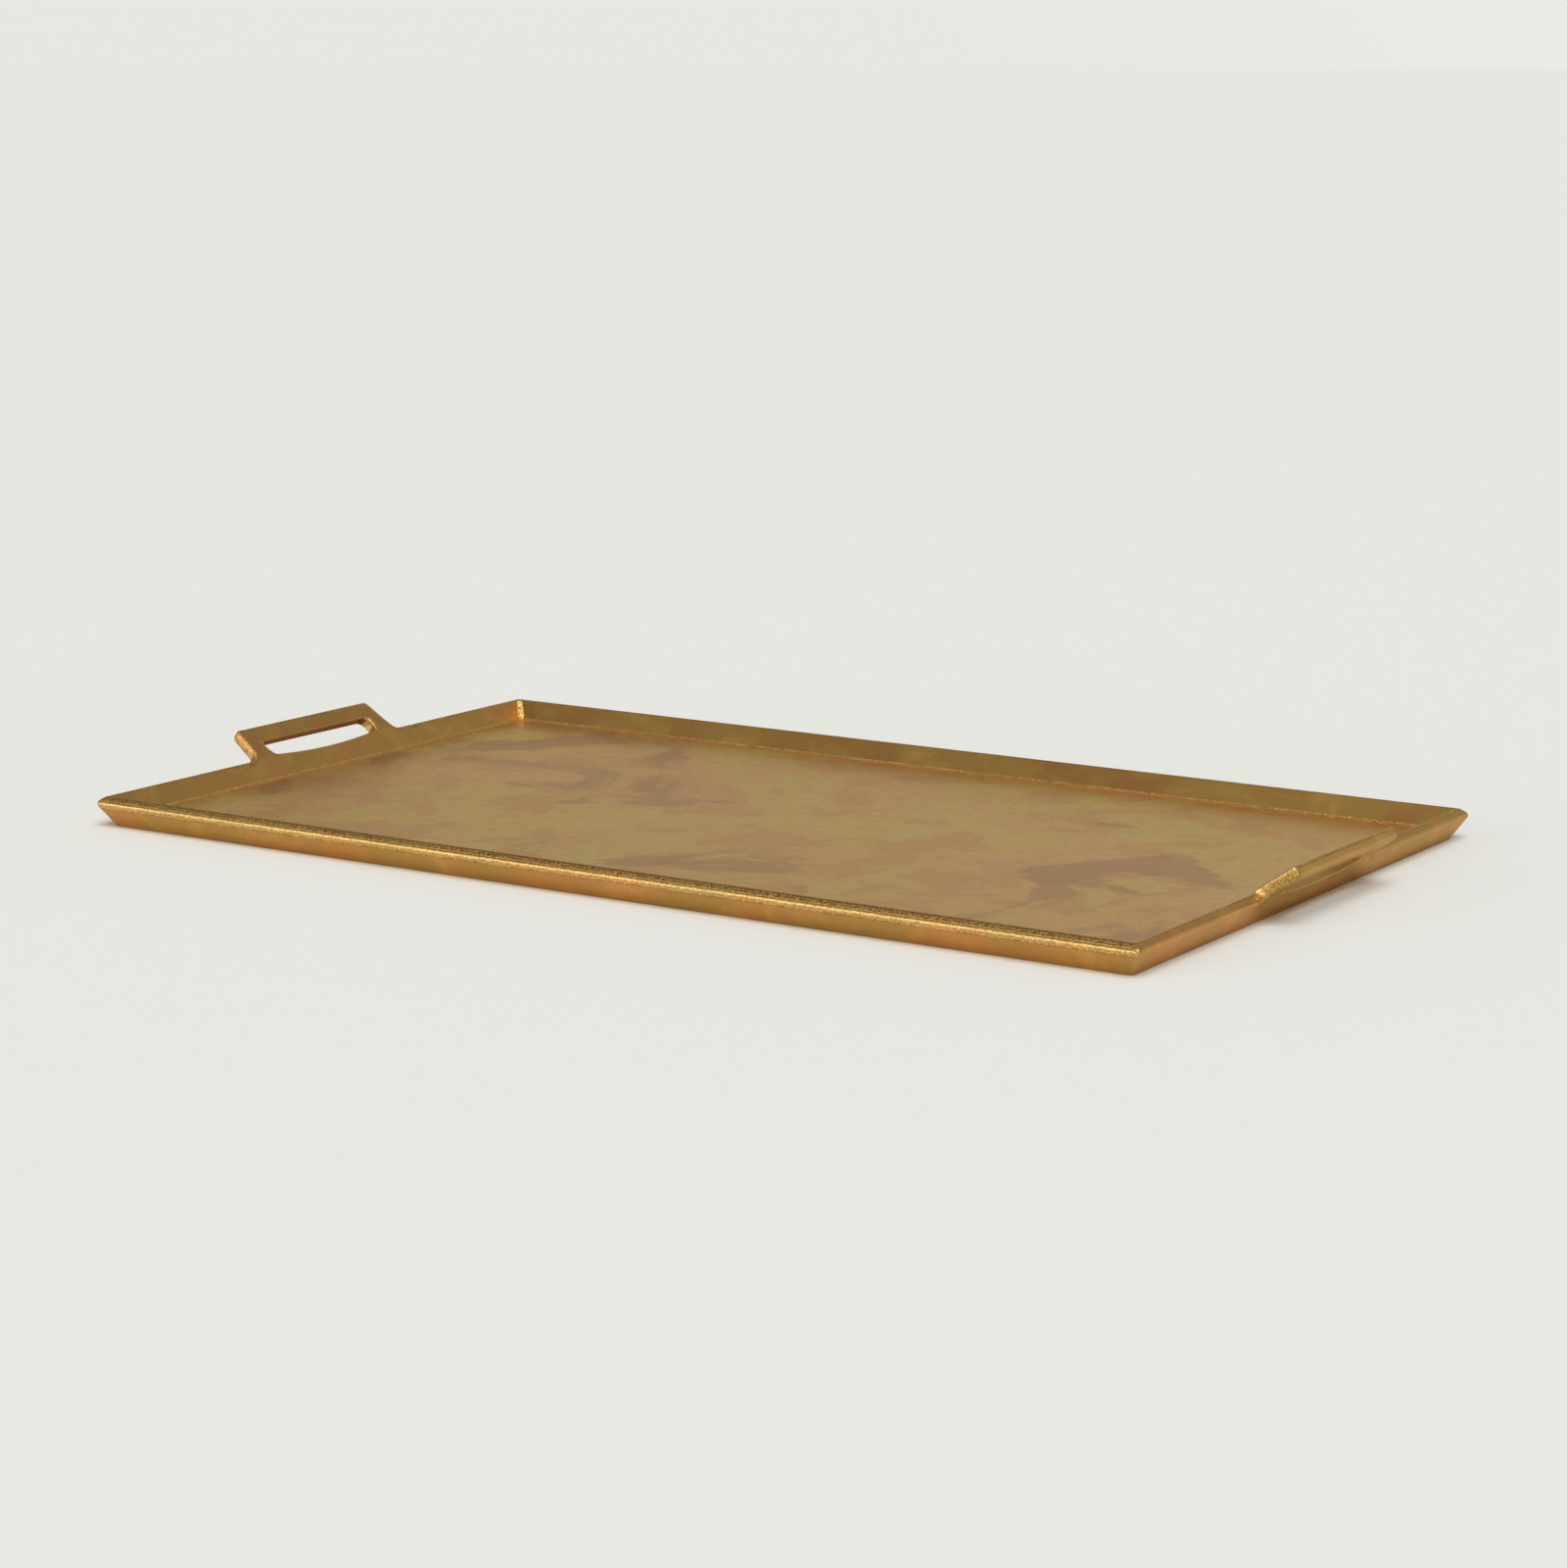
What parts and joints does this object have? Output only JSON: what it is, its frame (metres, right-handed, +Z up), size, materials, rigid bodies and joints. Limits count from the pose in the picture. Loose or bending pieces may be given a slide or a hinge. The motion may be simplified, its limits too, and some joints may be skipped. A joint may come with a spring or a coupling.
{
  "type": "serving tray",
  "caption": "Shallow rectangular brass tray with a flared, mitred rim and an outward-curled loop handle with a finger slot at each short end.",
  "frame": {"origin": "middle of the flat underside, at the bottom of the part", "axes": "+X along the tray from the left handle to the right handle, +Y across it to the back rail, +Z up"},
  "size_m": [0.6478, 0.3726, 0.0301],
  "materials": {
    "cast_brass": "satin cast brass with an antique patina, fine sand-cast grain on the rim, rubbed bright along the edges",
    "sheet_brass": "flat sheet with a mottled olive and brown patina, satin",
    "braze_filler": "dressed braze filler, slightly granular and brighter than the castings"
  },
  "bodies": {
    "root": {"floor_plate": "sheet_brass", "front_rail": "cast_brass", "back_rail": "cast_brass", "left_handle_rail": "cast_brass", "right_handle_rail": "cast_brass", "seam_braze_front": "braze_filler", "seam_braze_back": "braze_filler", "seam_braze_left": "braze_filler", "seam_braze_right": "braze_filler", "corner_braze_front_left": "braze_filler", "corner_braze_front_right": "braze_filler", "corner_braze_back_left": "braze_filler", "corner_braze_back_right": "braze_filler"}
  },
  "joints": []
}
